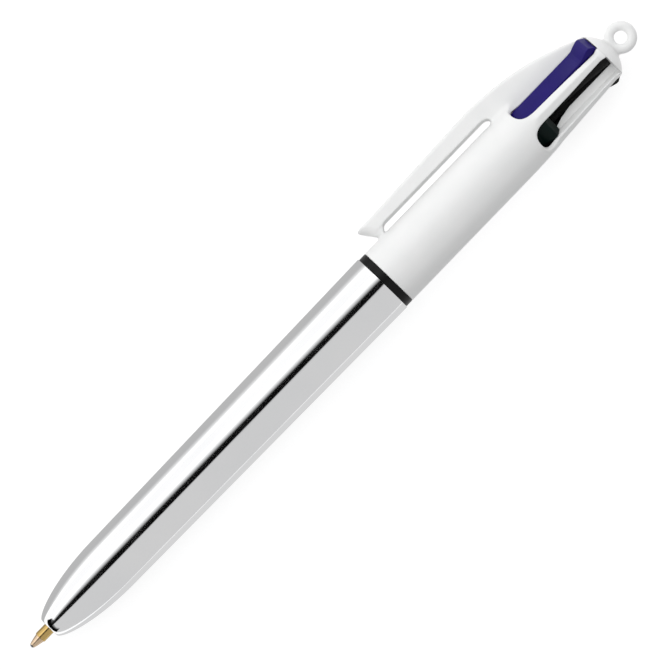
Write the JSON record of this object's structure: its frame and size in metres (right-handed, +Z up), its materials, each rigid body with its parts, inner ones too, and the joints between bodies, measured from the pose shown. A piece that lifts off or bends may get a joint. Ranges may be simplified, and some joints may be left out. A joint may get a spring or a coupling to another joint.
{
  "type": "multicolor click pen",
  "caption": "Slim ballpoint with a mirror-bright lower barrel and a white upper barrel whose coloured sliders each push their own refill out of the nose; pocket clip and lanyard loop.",
  "frame": {"origin": "centre of the box's lowest plane: the pen lies on a table, resting on its barrel and on one edge of its clip", "axes": "+X along the pen from the writing point to the lanyard loop, +Z up, the clip towards +Y and a little down"},
  "size_m": [0.1486, 0.0158, 0.0118],
  "materials": {
    "mirror_chrome": "mirror-bright chrome coat, vacuum metallised on moulded plastic",
    "white_plastic": "smooth moulded white plastic, slightly soft gloss",
    "black_plastic": "smooth moulded black plastic",
    "slider_blue": "smooth moulded blue plastic",
    "slider_green": "smooth moulded dark green plastic",
    "slider_black": "smooth moulded black plastic",
    "slider_red": "smooth moulded red plastic",
    "spring_steel": "drawn spring wire",
    "refill_tube": "translucent extruded tube",
    "ink_blue": "ink",
    "ink_green": "ink",
    "ink_black": "ink",
    "ink_red": "ink",
    "brass": "turned brass, nickel-pale at the cone",
    "ball_metal": "polished hard ball"
  },
  "bodies": {
    "upper_barrel": {"upper_barrel": "white_plastic", "end_cap": "white_plastic", "guide_core": "black_plastic", "spring_seat": "black_plastic", "threaded_sleeve": "black_plastic", "spring_blue": "spring_steel", "spring_green": "spring_steel", "spring_black": "spring_steel", "spring_red": "spring_steel"},
    "clip": {"clip": "white_plastic"},
    "trim_ring": {"trim_ring": "black_plastic"},
    "lower_barrel": {"lower_barrel": "mirror_chrome"},
    "refill_blue": {"refill_tube_blue": "refill_tube", "ink_blue": "ink_blue"},
    "slider_blue": {"slider_blue": "slider_blue"},
    "point_blue": {"point_blue": "brass", "ball_blue": "ball_metal"},
    "refill_green": {"refill_tube_green": "refill_tube", "ink_green": "ink_green"},
    "slider_green": {"slider_green": "slider_green"},
    "point_green": {"point_green": "brass", "ball_green": "ball_metal"},
    "refill_black": {"refill_tube_black": "refill_tube", "ink_black": "ink_black"},
    "slider_black": {"slider_black": "slider_black"},
    "point_black": {"point_black": "brass", "ball_black": "ball_metal"},
    "refill_red": {"refill_tube_red": "refill_tube", "ink_red": "ink_red"},
    "slider_red": {"slider_red": "slider_red"},
    "point_red": {"point_red": "brass", "ball_red": "ball_metal"}
  },
  "joints": [
    {"name": "clip_flex", "type": "hinge", "parent": "upper_barrel", "child": "clip", "pos_m": [0.04586, 0.00714, 0.00183], "axis": [0, -0.4029, -0.9152], "range_deg": [0, 4], "stiffness_Nm_per_rad": 2.6, "springref_deg": -1.15},
    {"name": "barrel_thread_travel", "type": "slide", "parent": "upper_barrel", "child": "trim_ring", "axis": [-1, 0, 0], "range_m": [0, 0.0075]},
    {"name": "barrel_unscrew", "type": "hinge", "parent": "trim_ring", "child": "lower_barrel", "pos_m": [0.01266, -0.00206, 0.00588], "axis": [-1, 0, 0], "range_deg": [0, 1800]},
    {"name": "blue_click", "type": "slide", "parent": "upper_barrel", "child": "refill_blue", "axis": [-1, 0, 0], "range_m": [0, 0.0142], "stiffness_N_per_m": 120, "springref_m": -0.008, "deforming": ["spring_blue", "refill_tube_blue", "ink_blue", "point_blue", "ball_blue"]},
    {"name": "blue_lean", "type": "hinge", "parent": "refill_blue", "child": "slider_blue", "pos_m": [0.04026, 0.00055, 0.00689], "axis": [0, 0.3622, -0.9321], "range_deg": [0, 2.15]},
    {"name": "blue_point_centring", "type": "slide", "parent": "refill_blue", "child": "point_blue", "axis": [0, -0.9321, -0.3622], "range_m": [0, 0.0028]},
    {"name": "green_click", "type": "slide", "parent": "upper_barrel", "child": "refill_green", "axis": [-1, 0, 0], "range_m": [-0.0142, 0], "deforming": ["spring_green", "refill_tube_green", "ink_green", "point_green", "ball_green"]},
    {"name": "green_lean", "type": "hinge", "parent": "refill_green", "child": "slider_green", "pos_m": [0.02606, -0.00308, 0.00849], "axis": [0, 0.9321, 0.3622], "range_deg": [-2.15, 0]},
    {"name": "green_point_centring", "type": "slide", "parent": "refill_green", "child": "point_green", "axis": [0, 0.3622, -0.9321], "range_m": [-0.0028, 0]},
    {"name": "black_click", "type": "slide", "parent": "upper_barrel", "child": "refill_black", "axis": [-1, 0, 0], "range_m": [0, 0.0142], "stiffness_N_per_m": 120, "springref_m": -0.008, "deforming": ["spring_black", "refill_tube_black", "ink_black", "point_black", "ball_black"]},
    {"name": "black_lean", "type": "hinge", "parent": "refill_black", "child": "slider_black", "pos_m": [0.04026, -0.00467, 0.00487], "axis": [0, -0.3622, 0.9321], "range_deg": [0, 2.15]},
    {"name": "black_point_centring", "type": "slide", "parent": "refill_black", "child": "point_black", "axis": [0, 0.9321, 0.3622], "range_m": [0, 0.0028]},
    {"name": "red_click", "type": "slide", "parent": "upper_barrel", "child": "refill_red", "axis": [-1, 0, 0], "range_m": [0, 0.0142], "stiffness_N_per_m": 120, "springref_m": -0.008, "deforming": ["spring_red", "refill_tube_red", "ink_red", "point_red", "ball_red"]},
    {"name": "red_lean", "type": "hinge", "parent": "refill_red", "child": "slider_red", "pos_m": [0.04026, -0.00105, 0.00327], "axis": [0, -0.9321, -0.3622], "range_deg": [0, 2.15]},
    {"name": "red_point_centring", "type": "slide", "parent": "refill_red", "child": "point_red", "axis": [0, -0.3622, 0.9321], "range_m": [0, 0.0028]}
  ],
  "couplings": [
    {"joint": "barrel_unscrew", "follows": "barrel_thread_travel", "rad_per_m": 4188.8},
    {"joint": "blue_lean", "follows": "blue_click", "rad_per_m": 2.6382},
    {"joint": "blue_point_centring", "follows": "blue_click", "ratio": 0.19718},
    {"joint": "green_lean", "follows": "green_click", "rad_per_m": 2.6382},
    {"joint": "green_point_centring", "follows": "green_click", "ratio": 0.19718},
    {"joint": "black_lean", "follows": "black_click", "rad_per_m": 2.6382},
    {"joint": "black_point_centring", "follows": "black_click", "ratio": 0.19718},
    {"joint": "red_lean", "follows": "red_click", "rad_per_m": 2.6382},
    {"joint": "red_point_centring", "follows": "red_click", "ratio": 0.19718}
  ]
}
